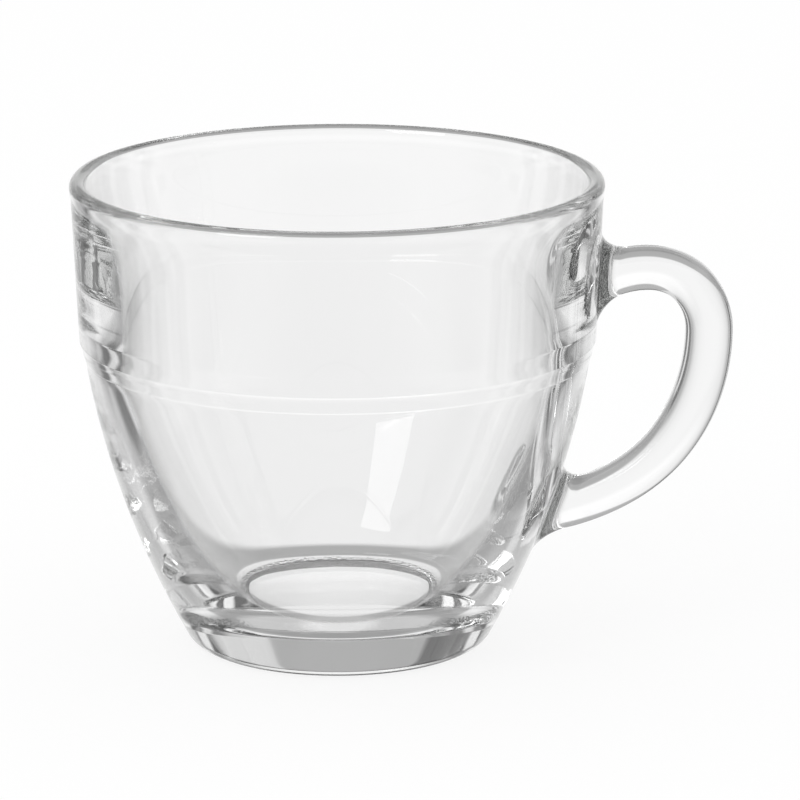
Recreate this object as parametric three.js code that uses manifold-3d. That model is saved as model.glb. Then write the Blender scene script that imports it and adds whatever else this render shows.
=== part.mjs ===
import * as THREE from 'three';
import { mergeVertices } from 'three/addons/utils/BufferGeometryUtils.js';
import Module from 'manifold-3d';

// Clear pressed-glass tea cup: a round bowl with a narrow belt, and a bowed handle at its side.
// Millimetres, +Z up. It stands on z = 0, and the origin is under the middle of its outline.

const { degToRad } = THREE.MathUtils;

// Bowl, outside
const CUP_HEIGHT = 75.4;
const MOUTH_DIAMETER = 84;
const LIP_THICKNESS = 2.7;
// The lip stands out past the wall below it by this much, and dies out this far under the rim.
const LIP_BEAD = 0.25;
const LIP_BEAD_HEIGHT = 3.6;
// The belt is a short, steeper band between the upper and the lower wall.
const BELT_TOP_HEIGHT = 49.5;
const BELT_HEIGHT = 2.6;
const BELT_TOP_DIAMETER = 81.3;
const BELT_BOTTOM_DIAMETER = 79.8;
// Slopes of the lower wall, from the vertical.
const LOWER_WALL_BELT_SLOPE = degToRad(9);
const LOWER_WALL_HEEL_SLOPE = degToRad(28.5);
const HEEL_RADIUS = 4.5;
const FOOT_DIAMETER = 41;
// A flat ring of this width carries the cup, round a shallow hollow with a steep edge.
const STANDING_RING_WIDTH = 2.6;
const PUNT_DEPTH = 1.5;
const PUNT_EDGE_WIDTH = 0.3;

// Bowl, inside
const WALL_AT_BELT = 5.6;
const INNER_WALL_SLOPE = degToRad(6);
const FLOOR_HEIGHT = 7.4;
const FLOOR_DIAMETER = 30.4;
// Lengths over which the inner wall keeps its direction below the lip, about the belt and at the floor.
const LIP_RUN = 4;
const BELT_RUN_UP = 12;
const BELT_RUN_DOWN = 18.3;
const FLOOR_RUN = 5.7;

// Handle: a bowed bar that leaves the upper wall, turns down and runs back to the lower wall
const HANDLE_REACH = 20.3;
// The bar is thinner in its two arms than where it runs upright at the bow.
const HANDLE_ARM_THICKNESS = 6.7;
const HANDLE_BOW_THICKNESS = 7.5;
const HANDLE_WIDTH = 8.6;
const HANDLE_ROUNDNESS = 3.6;
// The bar's centre line meets the upper wall this far under the rim, and bows out most this far under that.
const HANDLE_TOP_DROP = 16.65;
const HANDLE_BOW_DROP = 8.15;
const HANDLE_FOOT_HEIGHT = 21.25;
const HANDLE_TOP_RISE = degToRad(22.5);
const HANDLE_FOOT_RISE = degToRad(11.6);
// Lengths over which the bar's centre line keeps its direction at the wall and at the bow.
const TOP_RUN = 13.6;
const BOW_RUN_UP = 5.6;
const BOW_RUN_DOWN = 6.6;
const FOOT_RUN = 23.6;
// Fillets where the bar meets the wall: outside the loop, inside it and on the bar's two sides.
const TOP_FILLET_OUTSIDE = 5;
const TOP_FILLET_INSIDE = 4.2;
const TOP_FILLET_SIDE = 3;
const FOOT_FILLET_OUTSIDE = 4;
const FOOT_FILLET_INSIDE = 5.5;
const FOOT_FILLET_SIDE = 3;
// The fillets run out this far below the wall's surface, so that they end in a firm edge.
const FILLET_RUN_OUT = 0.45;
// The bar's ends are carried this far into the wall before they are cut to it.
const ROOT_LENGTH = 4;
const SEAT_GAP = 0.3;

// Glass
const GLASS_COLOUR = 0xf3f6f5;
const GLASS_ROUGHNESS = 0.03;
const GLASS_OPACITY = 0.35;

// Facets
const BOWL_SEGMENTS = 64;
const FLAT_STEPS = 1;
const PUNT_EDGE_STEPS = 4;
const HEEL_STEPS = 5;
const LOWER_WALL_STEPS = 9;
const BEAD_STEPS = 3;
const LIP_STEPS = 8;
const INNER_WALL_STEPS = 6;
const INNER_BOWL_STEPS = 10;
const HANDLE_SIDES = 24;
// Rings of the bar about each foot, in a stretch that reaches this far past the wall, and along the bow.
const FOOT_STRETCH = 5;
const FOOT_RINGS = 20;
const BOW_RINGS = 28;

const TOP_FILLETS = { outside: TOP_FILLET_OUTSIDE, inside: TOP_FILLET_INSIDE, side: TOP_FILLET_SIDE };
const FOOT_FILLETS = { outside: FOOT_FILLET_OUTSIDE, inside: FOOT_FILLET_INSIDE, side: FOOT_FILLET_SIDE };

const mouthRadius = MOUTH_DIAMETER / 2;
const lipRadius = LIP_THICKNESS / 2;
const lipHeight = CUP_HEIGHT - lipRadius;

const point = (radius, height) => new THREE.Vector2(radius, height);

// Unit step up a wall that leans out by this slope from the vertical.
const upWall = (slope) => point(Math.sin(slope), Math.cos(slope));

const along = (start, direction, length) => start.clone().addScaledVector(direction, length);

function line(start, end) {
  return new THREE.LineCurve(start, end);
}

function arc(centre, radius, startAngle, endAngle) {
  return new THREE.EllipseCurve(centre.x, centre.y, radius, radius, startAngle, endAngle);
}

// Curve between two points that leaves along one direction and arrives along another.
function bend(start, startDirection, startRun, end, endDirection, endRun) {
  const leaving = along(start, startDirection, startRun);
  const arriving = along(end, endDirection, -endRun);
  return new THREE.CubicBezierCurve(start, leaving, arriving, end);
}

// Curve between two points whose two runs are both a third of the way across.
function evenBend(start, startDirection, end, endDirection) {
  const run = start.distanceTo(end) / 3;
  return bend(start, startDirection, run, end, endDirection, run);
}

// Points along a chain of curves, each given with its number of steps.
function chain(stretches) {
  const points = [stretches[0][0].getPoint(0)];
  for (const [curve, steps] of stretches) {
    points.push(...curve.getPoints(steps).slice(1));
  }
  return points;
}

const up = upWall(0);
const down = point(0, -1);
const outward = point(1, 0);
const inward = point(-1, 0);

function undersideStretches() {
  const puntCentre = point(0, PUNT_DEPTH);
  const footEdge = point(FOOT_DIAMETER / 2, 0);
  const puntRim = along(footEdge, inward, STANDING_RING_WIDTH);
  const puntFlatEnd = point(puntRim.x - PUNT_EDGE_WIDTH, PUNT_DEPTH);
  return [
    [line(puntCentre, puntFlatEnd), FLAT_STEPS],
    [evenBend(puntFlatEnd, outward, puntRim, outward), PUNT_EDGE_STEPS],
    [line(puntRim, footEdge), FLAT_STEPS],
  ];
}

// Heel, lower wall, belt, upper wall and bead, from the standing ring up to the side of the lip.
function outerWallStretches() {
  const heelCentre = point(FOOT_DIAMETER / 2, HEEL_RADIUS);
  const heel = arc(heelCentre, HEEL_RADIUS, -Math.PI / 2, -LOWER_WALL_HEEL_SLOPE);
  const heelEnd = heel.getPoint(1);
  const beltBottom = point(BELT_BOTTOM_DIAMETER / 2, BELT_TOP_HEIGHT - BELT_HEIGHT);
  const beltTop = point(BELT_TOP_DIAMETER / 2, BELT_TOP_HEIGHT);
  const wallTop = point(mouthRadius - LIP_BEAD, CUP_HEIGHT - LIP_BEAD_HEIGHT);
  const upperWallDirection = wallTop.clone().sub(beltTop).normalize();
  const lowerWall = evenBend(
    heelEnd, upWall(LOWER_WALL_HEEL_SLOPE), beltBottom, upWall(LOWER_WALL_BELT_SLOPE));
  return [
    [heel, HEEL_STEPS],
    [lowerWall, LOWER_WALL_STEPS],
    [line(beltBottom, beltTop), FLAT_STEPS],
    [line(beltTop, wallTop), FLAT_STEPS],
    [evenBend(wallTop, upperWallDirection, point(mouthRadius, lipHeight), up), BEAD_STEPS],
  ];
}

// Lip, inner wall and floor, from the side of the lip to the axis.
function innerStretches() {
  const lip = arc(point(mouthRadius - lipRadius, lipHeight), lipRadius, 0, Math.PI);
  const lipInside = point(mouthRadius - LIP_THICKNESS, lipHeight);
  const innerBelt = point(BELT_TOP_DIAMETER / 2 - WALL_AT_BELT, BELT_TOP_HEIGHT);
  const downInnerWall = upWall(INNER_WALL_SLOPE).negate();
  const floorEdge = point(FLOOR_DIAMETER / 2, FLOOR_HEIGHT);
  return [
    [lip, LIP_STEPS],
    [bend(lipInside, down, LIP_RUN, innerBelt, downInnerWall, BELT_RUN_UP), INNER_WALL_STEPS],
    [bend(innerBelt, downInnerWall, BELT_RUN_DOWN, floorEdge, inward, FLOOR_RUN), INNER_BOWL_STEPS],
    [line(floorEdge, point(0, FLOOR_HEIGHT)), FLAT_STEPS],
  ];
}

// Solid of revolution about the vertical axis.
function turned(profile) {
  return new THREE.LatheGeometry(profile, BOWL_SEGMENTS).rotateX(Math.PI / 2);
}

const outerWall = chain(outerWallStretches());

function bowlGeometry() {
  return turned(chain([...undersideStretches(), ...outerWallStretches(), ...innerStretches()]));
}

// The bowl without its hollow, grown by the seat gap: what the handle's ends are cut to.
function seatGeometry() {
  const grown = outerWall.map((place, index) => {
    const before = outerWall[Math.max(index - 1, 0)];
    const after = outerWall[Math.min(index + 1, outerWall.length - 1)];
    const direction = after.clone().sub(before).normalize();
    return along(place, point(direction.y, -direction.x), SEAT_GAP);
  });
  const bottom = point(0, grown[0].y);
  const top = point(0, grown.at(-1).y);
  return turned([bottom, ...grown, top]);
}

// Outer radius of the bowl at a height.
function wallRadius(height) {
  const above = outerWall.findIndex((place) => place.y > height);
  const upper = above < 0 ? outerWall.length - 1 : Math.max(above, 1);
  const low = outerWall[upper - 1];
  const high = outerWall[upper];
  return THREE.MathUtils.mapLinear(height, low.y, high.y, low.x, high.x);
}

// Direction out of the wall at a place beside it, evened out over a belt's height up and down.
function wallNormal(place) {
  const spread = wallRadius(place.z + BELT_HEIGHT) - wallRadius(place.z - BELT_HEIGHT);
  const outwards = new THREE.Vector3(place.x, place.y, 0).normalize();
  return outwards.setZ(-spread / (2 * BELT_HEIGHT)).normalize();
}

// Centre line of the bar in the plane of the loop, root to root.
function handlePath() {
  const topHeight = CUP_HEIGHT - HANDLE_TOP_DROP;
  const top = point(wallRadius(topHeight), topHeight);
  const bow = point(mouthRadius + HANDLE_REACH - HANDLE_BOW_THICKNESS / 2, topHeight - HANDLE_BOW_DROP);
  const foot = point(wallRadius(HANDLE_FOOT_HEIGHT), HANDLE_FOOT_HEIGHT);
  const leaving = point(Math.cos(HANDLE_TOP_RISE), Math.sin(HANDLE_TOP_RISE));
  const arriving = point(-Math.cos(HANDLE_FOOT_RISE), -Math.sin(HANDLE_FOOT_RISE));
  const path = new THREE.CurvePath();
  path.add(line(along(top, leaving, -ROOT_LENGTH), top));
  path.add(bend(top, leaving, TOP_RUN, bow, down, BOW_RUN_UP));
  path.add(bend(bow, down, BOW_RUN_DOWN, foot, arriving, FOOT_RUN));
  path.add(line(foot, along(foot, arriving, ROOT_LENGTH)));
  return path;
}

// How far a fillet of this radius stands off the bar at a distance from the wall.
function filletRise(radius, distance) {
  const short = THREE.MathUtils.clamp(radius - distance, 0, radius);
  return radius - Math.sqrt(radius * radius - short * short);
}

// One ring of the bar: a rounded oblong, spread along the wall by the fillets near it.
function handleRing(centre, tangent, fillets) {
  const away = point(-tangent.y, tangent.x);
  const rounded = (share) => Math.sign(share) * Math.abs(share) ** (2 / HANDLE_ROUNDNESS);
  const thickness = THREE.MathUtils.lerp(HANDLE_ARM_THICKNESS, HANDLE_BOW_THICKNESS, tangent.y ** 2);
  const ring = [];
  for (let side = 0; side < HANDLE_SIDES; side += 1) {
    const angle = (side / HANDLE_SIDES) * 2 * Math.PI;
    const across = Math.sin(angle);
    const off = Math.cos(angle);
    const section = along(centre, away, (rounded(off) * thickness) / 2);
    const bare = new THREE.Vector3(section.x, (rounded(across) * HANDLE_WIDTH) / 2, section.y);
    const normal = wallNormal(bare);
    const distance = (Math.hypot(bare.x, bare.y) - wallRadius(bare.z)) * Math.hypot(normal.x, normal.y);
    const radius = THREE.MathUtils.lerp(fillets.side, off > 0 ? fillets.outside : fillets.inside, off * off);
    const spread = new THREE.Vector3(away.x * off, across, away.y * off).projectOnPlane(normal).normalize();
    ring.push(bare.addScaledVector(spread, filletRise(radius, distance + FILLET_RUN_OUT)));
  }
  return ring;
}

// Shares of the bar's length where its rings lie, close together at the feet.
function ringShares(length) {
  const footShare = (ROOT_LENGTH + FOOT_STRETCH) / length;
  const marks = [
    [0, footShare, FOOT_RINGS],
    [footShare, 1 - footShare, BOW_RINGS],
    [1 - footShare, 1, FOOT_RINGS],
  ];
  const shares = [0];
  for (const [from, to, steps] of marks) {
    for (let step = 1; step <= steps; step += 1) shares.push(from + ((to - from) * step) / steps);
  }
  return shares;
}

// Closed bar through the rings, with a flat fan at each end.
function handleGeometry() {
  const path = handlePath();
  const shares = ringShares(path.getLength());
  const positions = [];
  const faces = [];
  for (const share of shares) {
    const fillets = share < 1 / 2 ? TOP_FILLETS : FOOT_FILLETS;
    const ring = handleRing(path.getPoint(share), path.getTangent(share), fillets);
    ring.forEach((place) => positions.push(...place));
  }
  for (let index = 0; index < shares.length - 1; index += 1) {
    for (let side = 0; side < HANDLE_SIDES; side += 1) {
      const here = index * HANDLE_SIDES + side;
      const beside = index * HANDLE_SIDES + ((side + 1) % HANDLE_SIDES);
      faces.push(here, beside + HANDLE_SIDES, beside);
      faces.push(here, here + HANDLE_SIDES, beside + HANDLE_SIDES);
    }
  }
  const last = (shares.length - 1) * HANDLE_SIDES;
  for (let side = 1; side < HANDLE_SIDES - 1; side += 1) {
    faces.push(0, side, side + 1);
    faces.push(last, last + side + 1, last + side);
  }
  const geometry = new THREE.BufferGeometry();
  geometry.setAttribute('position', new THREE.Float32BufferAttribute(positions, 3));
  geometry.setIndex(faces);
  return geometry;
}

const wasm = await Module();
wasm.setup();

// Closed solid from a geometry, with shared vertices merged and collapsed faces left out.
function solid(geometry) {
  const bare = geometry.clone();
  bare.deleteAttribute('normal');
  bare.deleteAttribute('uv');
  const merged = mergeVertices(bare);
  const corners = merged.index.array;
  const triVerts = [];
  for (let face = 0; face < corners.length; face += 3) {
    const [a, b, c] = corners.subarray(face, face + 3);
    if (a !== b && b !== c && c !== a) triVerts.push(a, b, c);
  }
  return new wasm.Manifold(new wasm.Mesh({
    numProp: 3,
    vertProperties: merged.attributes.position.array,
    triVerts: new Uint32Array(triVerts),
  }));
}

// Geometry of the first solid with the second one cut away.
function cut(geometry, tool) {
  const mesh = solid(geometry).subtract(solid(tool)).getMesh();
  const result = new THREE.BufferGeometry();
  result.setAttribute('position', new THREE.BufferAttribute(mesh.vertProperties, 3));
  result.setIndex(new THREE.BufferAttribute(mesh.triVerts, 1));
  result.computeVertexNormals();
  return result;
}

function glassPiece(name, geometry) {
  const material = new THREE.MeshStandardMaterial({
    color: GLASS_COLOUR,
    roughness: GLASS_ROUGHNESS,
    metalness: 0,
    transparent: true,
    opacity: GLASS_OPACITY,
  });
  const piece = new THREE.Mesh(geometry, material);
  piece.name = name;
  return piece;
}

// The bowl's axis stands back from the origin by half of what the handle reaches past the lip.
const cup = new THREE.Group();
cup.position.x = -HANDLE_REACH / 2;
cup.add(glassPiece('bowl', bowlGeometry()));
cup.add(glassPiece('handle', cut(handleGeometry(), seatGeometry())));

const teaCup = new THREE.Group();
teaCup.add(cup);

export default teaCup;
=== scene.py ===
import logging
import math
from dataclasses import dataclass
from enum import Enum
from functools import cached_property

import bmesh
import bpy
from mathutils import Euler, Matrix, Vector
from mathutils.geometry import interpolate_bezier


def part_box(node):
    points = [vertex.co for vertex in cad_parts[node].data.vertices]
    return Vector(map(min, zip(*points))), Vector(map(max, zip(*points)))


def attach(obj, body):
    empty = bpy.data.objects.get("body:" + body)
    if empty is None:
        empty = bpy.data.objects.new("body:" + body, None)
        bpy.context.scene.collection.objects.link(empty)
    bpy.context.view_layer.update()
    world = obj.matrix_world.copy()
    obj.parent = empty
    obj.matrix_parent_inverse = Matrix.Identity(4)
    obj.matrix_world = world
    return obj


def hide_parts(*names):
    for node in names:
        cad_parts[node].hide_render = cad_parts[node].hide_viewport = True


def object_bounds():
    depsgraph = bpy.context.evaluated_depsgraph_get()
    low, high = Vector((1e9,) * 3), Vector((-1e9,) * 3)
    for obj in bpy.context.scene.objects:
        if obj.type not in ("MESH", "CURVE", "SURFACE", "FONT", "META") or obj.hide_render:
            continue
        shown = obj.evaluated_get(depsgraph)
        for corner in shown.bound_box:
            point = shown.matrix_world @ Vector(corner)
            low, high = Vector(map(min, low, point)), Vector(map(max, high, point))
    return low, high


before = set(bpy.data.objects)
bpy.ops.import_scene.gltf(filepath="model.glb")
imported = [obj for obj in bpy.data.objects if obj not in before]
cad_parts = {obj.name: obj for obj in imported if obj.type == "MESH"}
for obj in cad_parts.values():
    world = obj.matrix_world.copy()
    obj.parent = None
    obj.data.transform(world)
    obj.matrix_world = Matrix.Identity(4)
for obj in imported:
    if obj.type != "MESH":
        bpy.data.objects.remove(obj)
CAD_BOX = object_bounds()

LOG = logging.getLogger("tea_cup")
MM = 0.001
MERGE_DISTANCE = 0.002 * MM
SEAM_MERGE = 0.01 * MM
ROOT_BODY = "root"
BOWL_NODE = "bowl"
HANDLE_NODE = "handle"
GLASS_SLOT = "clear_glass"
GLASS_BOUNCES = 96

Colour = tuple[float, float, float, float]
Span = tuple[float, float]
Stops = tuple[Span, ...]
Node = bpy.types.Node
NodeTree = bpy.types.NodeTree
Socket = bpy.types.NodeSocket

SIDEWAYS = Vector((0.0, 1.0, 0.0))
UPWARD = Vector((0.0, 0.0, 1.0))
OUTWARD = Vector((1.0, 0.0, 0.0))


class Step(Enum):
    """Operations of the math nodes."""

    MULTIPLY = "MULTIPLY"
    ABSOLUTE = "ABSOLUTE"
    ARCTAN2 = "ARCTAN2"
    ARCSINE = "ARCSINE"
    LESS_THAN = "LESS_THAN"


def radial(radius: float, height: float) -> Vector:
    """Point of a profile, as a radius from the bowl's axis and a height."""
    return Vector((radius, 0.0, height))


def up_wall(slope: float) -> Vector:
    """Unit step up a wall that leans out by a slope from the vertical, in radians."""
    return Vector((math.sin(slope), 0.0, math.cos(slope)))


def bend(start: Vector, leaving: Vector, end: Vector, arriving: Vector, steps: int) -> list[Vector]:
    """Smooth curve between two points.

    Args:
        start: First point.
        leaving: Direction at the first point, as long as the curve keeps to it.
        end: Last point.
        arriving: Direction at the last point, as long as the curve keeps to it.
        steps: Number of stretches in the result.

    Returns:
        The points along the curve, the first one left out.
    """
    return interpolate_bezier(start, start + leaving, end - arriving, end, steps + 1)[1:]


def even_bend(start: Vector, leaving: Vector, end: Vector, arriving: Vector, steps: int) -> list[Vector]:
    """Smooth curve that keeps to both unit directions for a third of the way across.

    Args:
        start: First point.
        leaving: Unit direction at the first point.
        end: Last point.
        arriving: Unit direction at the last point.
        steps: Number of stretches in the result.

    Returns:
        The points along the curve, the first one left out.
    """
    run = (end - start).length / 3
    return bend(start, leaving * run, end, arriving * run, steps)


def arc(centre: Vector, radius: float, first: float, last: float, steps: int) -> list[Vector]:
    """Round stretch of a profile.

    Args:
        centre: Centre of the arc.
        radius: Radius of the arc.
        first: Angle of its start from the radial direction, in radians.
        last: Angle of its end.
        steps: Number of stretches in the result.

    Returns:
        The points along the arc, the first one included.
    """
    angles = [first + (last - first) * step / steps for step in range(steps + 1)]
    return [centre + radial(math.cos(angle), math.sin(angle)) * radius for angle in angles]


def rounded(share: float, power: float) -> float:
    """Signed power of a sine or cosine, which squares off a round section."""
    return math.copysign(abs(share) ** power, share)


def linked(made: bpy.types.Object) -> bpy.types.Object:
    """Puts a new object in the scene and hands it back."""
    bpy.context.scene.collection.objects.link(made)
    return made


def mesh_object(name: str, shape: bmesh.types.BMesh) -> bpy.types.Object:
    """Makes a linked object of a finished bmesh, with its normals pointing out.

    Args:
        name: Name of the object and of its mesh.
        shape: The bmesh, which is freed.

    Returns:
        The new object, at the origin.
    """
    bmesh.ops.remove_doubles(shape, verts=shape.verts, dist=MERGE_DISTANCE)
    bmesh.ops.recalc_face_normals(shape, faces=shape.faces)
    mesh = bpy.data.meshes.new(name)
    shape.to_mesh(mesh)
    shape.free()
    return linked(bpy.data.objects.new(name, mesh))


class NodeSheet:
    """Short calls for laying out a node tree."""

    def __init__(self, tree: NodeTree) -> None:
        """Empties the tree."""
        self.tree = tree
        tree.nodes.clear()

    @classmethod
    def of_material(cls, made: bpy.types.Material) -> "NodeSheet":
        """Empty sheet of a new material."""
        made.use_nodes = True
        return cls(made.node_tree)

    def add(self, kind: str, values: dict[str, object] | None = None, **settings: object) -> Node:
        """Adds a node.

        Args:
            kind: Type of the node.
            values: Value of each input that differs from its default, by the input's name.
            settings: The node's own properties.

        Returns:
            The node.
        """
        node = self.tree.nodes.new(kind)
        for name, setting in settings.items():
            setattr(node, name, setting)
        for name, value in (values or {}).items():
            node.inputs[name].default_value = value
        return node

    def link(self, source: Socket, target: Socket) -> None:
        """Joins an output to an input."""
        self.tree.links.new(source, target)

    def feed(self, value: Socket | float, target: Socket) -> None:
        """Links an input to an output, or sets it to a number.

        Args:
            value: The output or the number.
            target: The input.
        """
        if isinstance(value, (int, float)):
            target.default_value = value
        else:
            self.link(value, target)

    def math(self, step: Step, first: Socket, second: Socket | float | None = None) -> Socket:
        """Adds a math node.

        Args:
            step: The operation.
            first: First input.
            second: Second input, linked or set, or None where there is none.

        Returns:
            The node's output.
        """
        node = self.add("ShaderNodeMath", operation=step.value)
        self.link(first, node.inputs[0])
        if second is not None:
            self.feed(second, node.inputs[1])
        return node.outputs[0]

    def mix(self, share: Socket, first: Socket, second: Socket | float) -> Socket:
        """Blends two values.

        Args:
            share: How much of the second value is taken.
            first: First value.
            second: Second value, linked or set.

        Returns:
            The blend.
        """
        node = self.add("ShaderNodeMix")
        self.link(share, node.inputs["Factor"])
        self.link(first, node.inputs["A"])
        self.feed(second, node.inputs["B"])
        return node.outputs["Result"]

    def ramp(self, value: Socket, stops: Stops, span: Span) -> Socket:
        """Grey levels along a value.

        Args:
            value: The value.
            stops: Value and grey level of each stop.
            span: Values at the ramp's start and end.

        Returns:
            The grey level.
        """
        low, high = span
        spread = self.add("ShaderNodeMapRange", {"From Min": low, "From Max": high})
        self.link(value, spread.inputs["Value"])
        node = self.add("ShaderNodeValToRGB")
        elements = node.color_ramp.elements
        while len(elements) < len(stops):
            elements.new(0.5)
        for element, (place, grey) in zip(elements, stops):
            element.position = (place - low) / (high - low)
            element.color = (grey, grey, grey, 1.0)
        self.link(spread.outputs["Result"], node.inputs["Fac"])
        return node.outputs["Color"]

    def surface(self, shader: Node) -> Node:
        """Adds the material's output.

        Args:
            shader: Shader of the surface.

        Returns:
            The output node.
        """
        output = self.add("ShaderNodeOutputMaterial")
        self.link(shader.outputs[0], output.inputs["Surface"])
        return output


@dataclass(frozen=True)
class Bowl:
    """The round bowl: lip, walls, belt, heel, standing ring and the hollow under the base."""

    axis_x: float
    mouth_radius: float
    height: float
    lip_thickness: float = 2.7 * MM
    lip_bead: float = 0.25 * MM
    lip_bead_height: float = 3.6 * MM
    belt_top: float = 49.5 * MM
    belt_height: float = 2.6 * MM
    belt_top_radius: float = 40.65 * MM
    belt_bottom_radius: float = 39.9 * MM
    ledge_depth: float = 0.16 * MM
    ledge_height: float = 0.26 * MM
    belt_slope: float = math.radians(9)
    heel_slope: float = math.radians(28.5)
    heel_radius: float = 4.5 * MM
    foot_radius: float = 20.5 * MM
    punt_radius: float = 17.9 * MM
    punt_depth: float = 1.5 * MM
    punt_edge: float = 0.3 * MM
    wall_at_belt: float = 5.6 * MM
    inner_slope: float = math.radians(6)
    floor_height: float = 7.4 * MM
    floor_radius: float = 15.2 * MM
    lip_run: float = 4.0 * MM
    belt_run_up: float = 12.0 * MM
    belt_run_down: float = 18.3 * MM
    floor_run: float = 5.7 * MM
    punt_steps: int = 12
    heel_steps: int = 14
    lower_wall_steps: int = 40
    ledge_steps: int = 8
    band_steps: int = 4
    upper_wall_steps: int = 16
    bead_steps: int = 8
    lip_steps: int = 20
    inner_upper_steps: int = 24
    inner_lower_steps: int = 44
    floor_steps: int = 10
    turns: int = 192

    @classmethod
    def from_frame(cls) -> "Bowl":
        """Takes the bowl's place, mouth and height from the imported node.

        Returns:
            The bowl.
        """
        low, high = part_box(BOWL_NODE)
        mouth_radius = (high.y - low.y) / 2
        return cls(axis_x=low.x + mouth_radius, mouth_radius=mouth_radius, height=high.z)

    def underside(self) -> list[Vector]:
        """Profile of the hollow under the base.

        Returns:
            The points from the axis out to the standing ring.
        """
        punt_end = radial(self.punt_radius - self.punt_edge, self.punt_depth)
        ring = radial(self.punt_radius, 0.0)
        shares = [step / self.punt_steps for step in range(self.punt_steps + 1)]
        flat = [radial(punt_end.x * share, self.punt_depth) for share in shares]
        return [*flat, *even_bend(punt_end, OUTWARD, ring, OUTWARD, self.punt_steps)]

    @cached_property
    def outer_wall(self) -> list[Vector]:
        """Profile of the heel, the walls and the belt.

        Returns:
            The points from the standing ring up to the side of the lip.
        """
        heel_centre = radial(self.foot_radius, self.heel_radius)
        heel = arc(heel_centre, self.heel_radius, -math.pi / 2, -self.heel_slope, self.heel_steps)
        belt_low = radial(self.belt_bottom_radius, self.belt_top - self.belt_height)
        belt_high = radial(self.belt_top_radius, self.belt_top)
        half_ledge = radial(self.ledge_depth, self.ledge_height) / 2
        wall_top = radial(self.mouth_radius - self.lip_bead, self.height - self.lip_bead_height)
        lip_side = radial(self.mouth_radius, self.height - self.lip_thickness / 2)
        lower_end = belt_low - half_ledge
        band_start = belt_low + half_ledge
        band_end = belt_high - half_ledge
        upper_start = belt_high + half_ledge
        band = (belt_high - belt_low).normalized()
        lean = (wall_top - upper_start).normalized()
        slope = up_wall(self.belt_slope)
        return [
            *heel,
            *even_bend(heel[-1], up_wall(self.heel_slope), lower_end, slope, self.lower_wall_steps),
            *even_bend(lower_end, slope, band_start, band, self.ledge_steps),
            *even_bend(band_start, band, band_end, band, self.band_steps),
            *even_bend(band_end, band, upper_start, lean, self.ledge_steps),
            *even_bend(upper_start, lean, wall_top, lean, self.upper_wall_steps),
            *even_bend(wall_top, lean, lip_side, UPWARD, self.bead_steps),
        ]

    def inner_wall(self) -> list[Vector]:
        """Profile of the lip, the inner wall and the floor.

        Returns:
            The points from the top of the outer wall over the lip, and in to the axis.
        """
        lip_radius = self.lip_thickness / 2
        lip_centre = radial(self.mouth_radius - lip_radius, self.height - lip_radius)
        lip = arc(lip_centre, lip_radius, 0.0, math.pi, self.lip_steps)
        belt = radial(self.belt_top_radius - self.wall_at_belt, self.belt_top)
        down_wall = -up_wall(self.inner_slope)
        floor_edge = radial(self.floor_radius, self.floor_height)
        shares = [1 - step / self.floor_steps for step in range(1, self.floor_steps + 1)]
        upper_end = down_wall * self.belt_run_up
        lower_start = down_wall * self.belt_run_down
        return [
            *lip[1:],
            *bend(lip[-1], -UPWARD * self.lip_run, belt, upper_end, self.inner_upper_steps),
            *bend(belt, lower_start, floor_edge, -OUTWARD * self.floor_run, self.inner_lower_steps),
            *[radial(self.floor_radius * share, self.floor_height) for share in shares],
        ]

    def wall_radius(self, height: float) -> float:
        """Outer radius at a height.

        Args:
            height: Height above the table.

        Returns:
            The radius of the wall's outer face there.
        """
        wall = self.outer_wall
        above = next((index for index, place in enumerate(wall) if place.z > height), len(wall) - 1)
        above = max(above, 1)
        low, high = wall[above - 1], wall[above]
        share = (height - low.z) / (high.z - low.z)
        return low.x + (high.x - low.x) * share

    def wall_normal(self, place: Vector) -> Vector:
        """Outward direction of the wall beside a place, evened out over a short height.

        Args:
            place: A point near the wall, from the bowl's axis.

        Returns:
            The unit direction.
        """
        reach = self.belt_height
        spread = self.wall_radius(place.z + reach) - self.wall_radius(place.z - reach)
        outward = Vector((place.x, place.y, 0.0)).normalized()
        return (outward - UPWARD * spread / (2 * reach)).normalized()

    def build(self) -> bpy.types.Object:
        """Turns the profile about the bowl's axis.

        Returns:
            The bowl's shape.
        """
        shape = bmesh.new()
        profile = [*self.underside(), *self.outer_wall, *self.inner_wall()]
        places = [shape.verts.new(place) for place in profile]
        edges = [shape.edges.new(pair) for pair in zip(places, places[1:])]
        bmesh.ops.spin(
            shape, geom=[*places, *edges], cent=(0, 0, 0), axis=UPWARD, dvec=(0, 0, 0),
            angle=math.tau, steps=self.turns, use_merge=True)
        bmesh.ops.translate(shape, verts=shape.verts, vec=OUTWARD * self.axis_x)
        return mesh_object("bowl_shape", shape)


@dataclass(frozen=True)
class Fillets:
    """Fillet radii where the bar meets the wall."""

    outside: float
    inside: float
    side: float

    def at(self, off: float) -> float:
        """Radius on the side of the bar that faces out of the loop by the cosine off."""
        face = self.outside if off > 0 else self.inside
        return self.side + (face - self.side) * off * off


@dataclass(frozen=True)
class Station:
    """A place along the bar: its middle, its direction along the bar and the nearer foot's fillets."""

    centre: Vector
    direction: Vector
    fillets: Fillets


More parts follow.
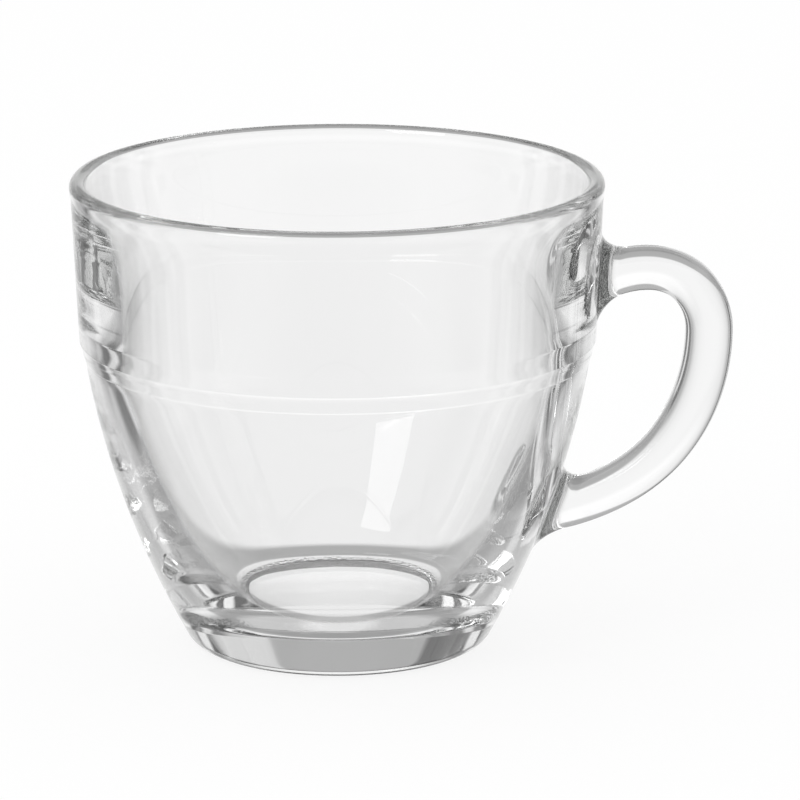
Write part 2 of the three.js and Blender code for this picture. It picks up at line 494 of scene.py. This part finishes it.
@dataclass(frozen=True)
class Handle:
    """The bowed bar and its two filleted feet."""

    bowl: Bowl
    tip_x: float
    arm_thickness: float = 6.7 * MM
    bow_thickness: float = 7.5 * MM
    width: float = 8.6 * MM
    roundness: float = 2.8
    top_height: float = 58.75 * MM
    bow_height: float = 50.6 * MM
    foot_height: float = 21.25 * MM
    top_rise: float = math.radians(22.5)
    foot_rise: float = math.radians(11.6)
    top_run: float = 13.6 * MM
    bow_run_up: float = 5.6 * MM
    bow_run_down: float = 6.6 * MM
    foot_run: float = 23.6 * MM
    top_fillets: Fillets = Fillets(outside=5 * MM, inside=4.2 * MM, side=3 * MM)
    foot_fillets: Fillets = Fillets(outside=4 * MM, inside=5.5 * MM, side=3 * MM)
    run_out: float = 0.2 * MM
    root: float = 2.4 * MM
    sides: int = 64
    foot_stretch: float = 6.0 * MM
    foot_steps: int = 48
    bow_steps: int = 90
    line_steps: int = 400

    @classmethod
    def from_frame(cls, bowl: Bowl) -> "Handle":
        """Takes the handle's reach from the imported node."""
        return cls(bowl=bowl, tip_x=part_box(HANDLE_NODE)[1].x - bowl.axis_x)

    def centre_line(self) -> list[Vector]:
        """Middle of the bar in the plane of the loop.

        Returns:
            The points from root to root.
        """
        top = radial(self.bowl.wall_radius(self.top_height), self.top_height)
        bow = radial(self.tip_x - self.bow_thickness / 2, self.bow_height)
        foot = radial(self.bowl.wall_radius(self.foot_height), self.foot_height)
        leaving = radial(math.cos(self.top_rise), math.sin(self.top_rise))
        arriving = -radial(math.cos(self.foot_rise), math.sin(self.foot_rise))
        return [
            top - leaving * self.root,
            top,
            *bend(top, leaving * self.top_run, bow, -UPWARD * self.bow_run_up, self.line_steps),
            *bend(bow, -UPWARD * self.bow_run_down, foot, arriving * self.foot_run, self.line_steps),
            foot + arriving * self.root,
        ]

    def distances(self, whole: float) -> list[float]:
        """Distances of the stations along the bar, close together at its feet.

        Args:
            whole: Length of the bar from root to root.

        Returns:
            The distances from the upper root.
        """
        foot = self.root + self.foot_stretch
        bow = whole - 2 * foot
        return [
            *[foot * step / self.foot_steps for step in range(self.foot_steps)],
            *[foot + bow * step / self.bow_steps for step in range(self.bow_steps)],
            *[whole - foot * step / self.foot_steps for step in range(self.foot_steps, -1, -1)],
        ]

    def stations(self) -> list[Station]:
        """Follows the middle of the bar.

        Returns:
            The stations from root to root.
        """
        line = self.centre_line()
        lengths = [0.0]
        for first, last in zip(line, line[1:]):
            lengths.append(lengths[-1] + (last - first).length)
        whole = lengths[-1]
        found = []
        index = 0
        for target in self.distances(whole):
            while index < len(line) - 2 and lengths[index + 1] < target:
                index += 1
            share = (target - lengths[index]) / (lengths[index + 1] - lengths[index])
            found.append(Station(
                centre=line[index].lerp(line[index + 1], share),
                direction=(line[index + 1] - line[index]).normalized(),
                fillets=self.top_fillets if target < whole / 2 else self.foot_fillets))
        return found

    def surface_point(self, station: Station, angle: float) -> Vector:
        """Point of the bar's surface, spread by the fillet where the wall is near.

        Args:
            station: Place along the bar.
            angle: Angle round the bar from the outside of the loop.

        Returns:
            The point, from the bowl's axis.
        """
        direction = station.direction
        away = Vector((-direction.z, 0.0, direction.x))
        off, across = math.cos(angle), math.sin(angle)
        power = 2 / self.roundness
        thickness = self.arm_thickness + (self.bow_thickness - self.arm_thickness) * direction.z ** 2
        bare = station.centre + away * rounded(off, power) * thickness / 2
        bare += SIDEWAYS * rounded(across, power) * self.width / 2
        radius = station.fillets.at(off)
        normal = self.bowl.wall_normal(bare)
        beside = math.hypot(bare.x, bare.y) - self.bowl.wall_radius(bare.z)
        distance = beside * math.hypot(normal.x, normal.y) + self.run_out
        short = min(max(radius - distance, 0.0), radius)
        rise = radius - math.sqrt(radius * radius - short * short)
        spread = away * off + SIDEWAYS * across
        spread -= normal * spread.dot(normal)
        return bare + spread.normalized() * rise

    def build(self) -> bpy.types.Object:
        """Bridges rings along the bar and caps its two roots.

        Returns:
            The handle's shape.
        """
        shape = bmesh.new()
        rings = []
        for station in self.stations():
            ring = bmesh.ops.create_circle(shape, segments=self.sides, radius=1.0)["verts"]
            for vert in ring:
                vert.co = self.surface_point(station, math.atan2(vert.co.y, vert.co.x))
            rings.append(list(dict.fromkeys(edge for vert in ring for edge in vert.link_edges)))
        for first, last in zip(rings, rings[1:]):
            bmesh.ops.bridge_loops(shape, edges=[*first, *last])
        for end in (rings[0], rings[-1]):
            bmesh.ops.contextual_create(shape, geom=end)
        bmesh.ops.translate(shape, verts=shape.verts, vec=OUTWARD * self.bowl.axis_x)
        return mesh_object("handle_shape", shape)


@dataclass(frozen=True)
class ClearGlass:
    """Clear, fire-polished glass with a faint waviness from the mould and a stippled standing ring."""

    colour: Colour = (0.996, 0.996, 0.996, 1.0)
    ior: float = 1.52
    body_colour: Colour = (0.5, 0.51, 0.5, 1.0)
    body_density: float = 2.5
    wave_scale: float = 170.0
    wave_height: float = 0.02 * MM
    wave_stretch: float = 5.0
    dull_from: float = 0.45
    dull_to: float = 0.75
    clean_roughness: float = 0.0
    dull_roughness: float = 0.012
    stipple_size: float = 0.9 * MM
    stipple_height: float = 0.07 * MM
    stipple_top: float = 0.1 * MM

    def stipple(self, sheet: NodeSheet, place: Socket) -> Socket:
        """Small dots on the standing ring.

        Args:
            sheet: Node sheet of the material.
            place: Object coordinates.

        Returns:
            The surface's direction with the dots.
        """
        dots = sheet.add("ShaderNodeTexVoronoi", {"Scale": 1.0 / self.stipple_size})
        sheet.link(place, dots.inputs["Vector"])
        split = sheet.add("ShaderNodeSeparateXYZ")
        sheet.link(place, split.inputs["Vector"])
        bump = sheet.add("ShaderNodeBump", {"Distance": self.stipple_height})
        low = sheet.math(Step.LESS_THAN, split.outputs["Z"], self.stipple_top)
        sheet.link(low, bump.inputs["Strength"])
        sheet.link(dots.outputs["Distance"], bump.inputs["Height"])
        return bump.outputs["Normal"]

    def waves(self, sheet: NodeSheet, place: Socket) -> Socket:
        """Slow changes over the surface, drawn out upward.

        Args:
            sheet: Node sheet of the material.
            place: Object coordinates.

        Returns:
            The waves, from 0 to 1.
        """
        drawn = sheet.add("ShaderNodeMapping", {"Scale": (1.0, 1.0, 1.0 / self.wave_stretch)})
        sheet.link(place, drawn.inputs["Vector"])
        noise = sheet.add("ShaderNodeTexNoise", {"Scale": self.wave_scale, "Detail": 0.0})
        sheet.link(drawn.outputs["Vector"], noise.inputs["Vector"])
        return noise.outputs["Fac"]

    def material(self) -> bpy.types.Material:
        """Builds the finish on object coordinates.

        Returns:
            The material.
        """
        made = bpy.data.materials.new(GLASS_SLOT)
        sheet = NodeSheet.of_material(made)
        place = sheet.add("ShaderNodeTexCoord").outputs["Object"]
        waves = self.waves(sheet, place)
        bump = sheet.add("ShaderNodeBump", {"Strength": 1.0, "Distance": self.wave_height})
        sheet.link(waves, bump.inputs["Height"])
        sheet.link(self.stipple(sheet, place), bump.inputs["Normal"])
        dull = sheet.add("ShaderNodeMapRange", {
            "From Min": self.dull_from, "From Max": self.dull_to,
            "To Min": self.clean_roughness, "To Max": self.dull_roughness})
        sheet.link(waves, dull.inputs["Value"])
        shader = sheet.add("ShaderNodeBsdfPrincipled", {
            "Base Color": self.colour, "IOR": self.ior, "Transmission Weight": 1.0})
        sheet.link(dull.outputs["Result"], shader.inputs["Roughness"])
        sheet.link(bump.outputs["Normal"], shader.inputs["Normal"])
        body = sheet.add("ShaderNodeVolumeAbsorption", {
            "Color": self.body_colour, "Density": self.body_density})
        output = sheet.surface(shader)
        sheet.link(body.outputs["Volume"], output.inputs["Volume"])
        return made


@dataclass(frozen=True)
class TeaCup:
    """The whole pressing: bowl and handle in one piece of glass."""

    bowl: Bowl
    handle: Handle
    glass: ClearGlass

    def fused(self) -> bpy.types.Mesh:
        """Fuses the handle to the bowl.

        Returns:
            The mesh of both.
        """
        body = self.bowl.build()
        bar = self.handle.build()
        joined = body.modifiers.new("fuse", "BOOLEAN")
        joined.operation = "UNION"
        joined.solver = "EXACT"
        joined.object = bar
        graph = bpy.context.evaluated_depsgraph_get()
        mesh = bpy.data.meshes.new_from_object(body.evaluated_get(graph))
        for used in (body, bar):
            bpy.data.objects.remove(used)
        return mesh

    def clean_seam(self, mesh: bpy.types.Mesh) -> None:
        """Takes slivers and many-sided faces off the seam between bowl and handle.

        Args:
            mesh: The fused mesh, which is changed.
        """
        shape = bmesh.new()
        shape.from_mesh(mesh)
        bmesh.ops.dissolve_degenerate(shape, edges=shape.edges, dist=SEAM_MERGE)
        many_sided = [face for face in shape.faces if len(face.verts) > 4]
        bmesh.ops.triangulate(shape, faces=many_sided, quad_method="BEAUTY", ngon_method="BEAUTY")
        shape.to_mesh(mesh)
        shape.free()

    def build(self) -> bpy.types.Object:
        """Makes and dresses the cup.

        Returns:
            The cup.
        """
        mesh = self.fused()
        self.clean_seam(mesh)
        mesh.shade_smooth()
        mesh.materials.clear()
        mesh.materials.append(self.glass.material())
        cup = linked(bpy.data.objects.new("glass_cup", mesh))
        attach(cup, ROOT_BODY)
        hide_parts(BOWL_NODE, HANDLE_NODE)
        return cup


@dataclass(frozen=True)
class PhotoCamera:
    """The camera of the photograph, worked out from the cup's outline."""

    distance: float = 930.6 * MM
    height: float = 272.4 * MM
    focal_px: float = 6068.7
    frame_px: float = 800.0
    pitch: float = 0.2456
    yaw: float = 0.0105
    roll: float = -0.0021
    sight: float = 20.0

    def build(self, axis_x: float) -> bpy.types.Object:
        """Makes the scene's camera.

        Args:
            axis_x: Place of the bowl's axis, which the camera stands in front of.

        Returns:
            The camera.
        """
        data = bpy.data.cameras.new("photo_camera")
        data.lens = self.focal_px / self.frame_px * data.sensor_width
        data.clip_end = self.sight
        camera = linked(bpy.data.objects.new("photo_camera", data))
        camera.location = (axis_x, -self.distance, self.height)
        aim = Euler((math.pi / 2 - self.pitch, 0.0, -self.yaw)).to_matrix()
        turn = Euler((0.0, 0.0, self.roll)).to_matrix()
        camera.rotation_euler = (aim @ turn).to_euler()
        bpy.context.scene.camera = camera
        return camera


@dataclass(frozen=True)
class PaleFloor:
    """White floor that keeps a faint shadow and can be looked through from below."""

    side: float = 6.0
    shadow: float = 0.12
    colour: Colour = (0.9, 0.9, 0.9, 1.0)

    def material(self) -> bpy.types.Material:
        """White, with a share of matt paint that takes the shadow.

        Returns:
            The material.
        """
        made = bpy.data.materials.new("pale_floor")
        sheet = NodeSheet.of_material(made)
        white = sheet.add("ShaderNodeEmission")
        matt = sheet.add("ShaderNodeBsdfDiffuse", {"Color": self.colour})
        clear = sheet.add("ShaderNodeBsdfTransparent")
        shaded = sheet.add("ShaderNodeMixShader", {"Fac": self.shadow})
        sheet.link(white.outputs[0], shaded.inputs[1])
        sheet.link(matt.outputs[0], shaded.inputs[2])
        sided = sheet.add("ShaderNodeMixShader")
        sheet.link(sheet.add("ShaderNodeNewGeometry").outputs["Backfacing"], sided.inputs["Fac"])
        sheet.link(shaded.outputs[0], sided.inputs[1])
        sheet.link(clear.outputs[0], sided.inputs[2])
        sheet.surface(sided)
        made.cycles.emission_sampling = "NONE"
        return made

    def build(self) -> None:
        """Lays the floor under the cup, where the glass shows the panels in its place."""
        shape = bmesh.new()
        bmesh.ops.create_grid(shape, x_segments=1, y_segments=1, size=self.side / 2)
        made = mesh_object("floor", shape)
        made.data.materials.append(self.material())
        made.visible_glossy = False
        made.visible_transmission = False


@dataclass(frozen=True)
class Panels:
    """Panels round the cup, which only the glass shows.

    Levels are set by the angle from straight behind the cup, in degrees, in bands one above the other. Each
    band's edge gives the heights between which it takes over from the next.
    """

    radius: float = 3.0
    segments: int = 48
    rings: int = 24
    brightness: float = 1.075
    middle: Stops = (
        (0, 1.0), (6, 0.99), (12, 0.95), (20, 0.84), (25, 0.66), (29, 0.48), (33, 0.48), (37, 0.18),
        (42, 0.18), (45, 0.8), (48, 0.8), (51, 0.15), (60, 0.1), (63, 0.9), (71, 0.95), (73, 0.12),
        (79, 0.12), (82, 0.95), (95, 0.5), (105, 0.5), (120, 0.75), (180, 0.7))
    middle_rise: Stops = ((-18, 0.89), (4, 0.89), (10, 1.0))
    low: Stops = ((0, 0.45), (20, 0.45), (28, 0.36), (55, 0.36), (70, 0.75), (180, 0.75))
    deep: Stops = ((0, 0.34), (35, 0.36), (45, 0.62), (85, 0.62), (100, 0.3), (180, 0.3))
    high: Stops = (
        (-115, 0.05), (-105, 0.35), (-60, 0.35), (-50, 0.16), (-29, 0.16), (-27, 0.46), (18, 0.46),
        (20, 0.75), (50, 0.75), (56, 0.45), (105, 0.45), (115, 0.05))
    ground: float = 0.8
    ceiling: float = 0.06
    low_edge: Span = (-20, -17.5)
    deep_edge: Span = (-32, -29)
    ground_edge: Span = (-74, -66)
    high_edge: Span = (27, 29)
    ceiling_edge: Span = (44, 48)

    def levels(self, sheet: NodeSheet) -> Socket:
        """Level of the panels at each place.

        Args:
            sheet: Node sheet of the material.

        Returns:
            The level.
        """
        toward = sheet.add("ShaderNodeVectorMath", operation="NORMALIZE")
        sheet.link(sheet.add("ShaderNodeTexCoord").outputs["Object"], toward.inputs[0])
        split = sheet.add("ShaderNodeSeparateXYZ")
        sheet.link(toward.outputs[0], split.inputs[0])
        in_degrees = math.degrees(1.0)
        circle, half, rises = (-180.0, 180.0), (0.0, 180.0), (-90.0, 90.0)
        angle = sheet.math(Step.ARCTAN2, split.outputs["X"], split.outputs["Y"])
        turn = sheet.math(Step.MULTIPLY, angle, in_degrees)
        side = sheet.math(Step.MULTIPLY, sheet.math(Step.ABSOLUTE, angle), in_degrees)
        rise = sheet.math(Step.MULTIPLY, sheet.math(Step.ARCSINE, split.outputs["Z"]), in_degrees)
        middle = sheet.ramp(side, self.middle, half)
        middle = sheet.math(Step.MULTIPLY, middle, sheet.ramp(rise, self.middle_rise, rises))
        level = sheet.math(Step.MULTIPLY, middle, self.brightness)
        below = (
            (self.low_edge, sheet.ramp(side, self.low, half)),
            (self.deep_edge, sheet.ramp(side, self.deep, half)),
            (self.ground_edge, self.ground))
        above = (
            (self.high_edge, sheet.ramp(turn, self.high, circle)),
            (self.ceiling_edge, self.ceiling))
        for (start, end), band in below:
            level = sheet.mix(sheet.ramp(rise, ((start, 1.0), (end, 0.0)), rises), level, band)
        for (start, end), band in above:
            level = sheet.mix(sheet.ramp(rise, ((start, 0.0), (end, 1.0)), rises), level, band)
        return level

    def material(self) -> bpy.types.Material:
        """Plain light of the panels' levels.

        Returns:
            The material.
        """
        made = bpy.data.materials.new("panels")
        sheet = NodeSheet.of_material(made)
        light = sheet.add("ShaderNodeEmission")
        sheet.link(self.levels(sheet), light.inputs["Strength"])
        sheet.surface(light)
        made.cycles.emission_sampling = "NONE"
        return made

    def build(self, stand: bpy.types.Object) -> None:
        """Sets the panels round the cup.

        Args:
            stand: Empty at the cup that the panels hang on.
        """
        shape = bmesh.new()
        bmesh.ops.create_uvsphere(
            shape, u_segments=self.segments, v_segments=self.rings, radius=self.radius)
        made = mesh_object("surround", shape)
        made.data.shade_smooth()
        made.data.materials.append(self.material())
        made.parent = stand
        made.visible_camera = False
        made.visible_diffuse = False
        made.visible_shadow = False


@dataclass(frozen=True)
class Softbox:
    """Softbox ahead and to the left of the cup."""

    width: float = 0.5
    height: float = 0.8
    watts: float = 3.3
    turn: float = math.radians(-37)
    rise: float = math.radians(27.5)
    away: float = 1.2

    def build(self, stand: bpy.types.Object) -> None:
        """Sets the lamp up, facing the cup.

        Args:
            stand: Empty at the cup that the lamp hangs on.
        """
        data = bpy.data.lights.new("softbox", "AREA")
        data.shape = "RECTANGLE"
        data.size = self.width
        data.size_y = self.height
        data.energy = self.watts
        level = math.cos(self.rise)
        toward = Vector((math.sin(self.turn) * level, -math.cos(self.turn) * level, math.sin(self.rise)))
        made = linked(bpy.data.objects.new("softbox", data))
        made.location = toward * self.away
        made.rotation_euler = toward.to_track_quat("Z", "Y").to_euler()
        made.parent = stand


@dataclass(frozen=True)
class Studio:
    """Pale floor, white surround, and the panels and softbox that the glass shows.

    The panels and the softbox turn with the camera, as a cup turns on a stand in front of them.
    """

    centre: Vector
    floor: PaleFloor = PaleFloor()
    panels: Panels = Panels()
    softbox: Softbox = Softbox()
    daylight: Colour = (1.0, 1.0, 1.0, 1.0)

    def world(self) -> None:
        """Plain even white light."""
        made = bpy.data.worlds.new("studio_world")
        made.use_nodes = True
        sheet = NodeSheet(made.node_tree)
        light = sheet.add("ShaderNodeBackground", {"Color": self.daylight})
        output = sheet.add("ShaderNodeOutputWorld")
        sheet.link(light.outputs[0], output.inputs["Surface"])
        bpy.context.scene.world = made

    def stand(self, camera: bpy.types.Object) -> bpy.types.Object:
        """Empty at the cup that always faces the camera.

        Args:
            camera: The camera.

        Returns:
            The empty.
        """
        made = linked(bpy.data.objects.new("turning_stand", None))
        made.location = self.centre
        facing = made.constraints.new("TRACK_TO")
        facing.target = camera
        facing.track_axis = "TRACK_NEGATIVE_Y"
        facing.up_axis = "UP_Z"
        return made

    def build(self, camera: bpy.types.Object) -> None:
        """Sets up the whole studio.

        Args:
            camera: The camera that the stand faces.
        """
        self.world()
        self.floor.build()
        stand = self.stand(camera)
        self.panels.build(stand)
        self.softbox.build(stand)


def set_rendering() -> None:
    """Plain view transform, and enough bounces for thick glass."""
    scene = bpy.context.scene
    scene.view_settings.view_transform = "Standard"
    scene.cycles.max_bounces = GLASS_BOUNCES
    scene.cycles.transmission_bounces = GLASS_BOUNCES
    scene.cycles.glossy_bounces = GLASS_BOUNCES


def main() -> None:
    """Builds the camera, the cup and the studio, and logs the cup's face count."""
    logging.basicConfig(level=logging.INFO)
    bowl = Bowl.from_frame()
    handle = Handle.from_frame(bowl)
    camera = PhotoCamera().build(bowl.axis_x)
    cup = TeaCup(bowl=bowl, handle=handle, glass=ClearGlass()).build()
    LOG.info("%s: %d faces", cup.name, len(cup.data.polygons))
    low, high = CAD_BOX
    Studio(centre=(low + high) / 2).build(camera)
    set_rendering()


if __name__ == "__main__":
    main()
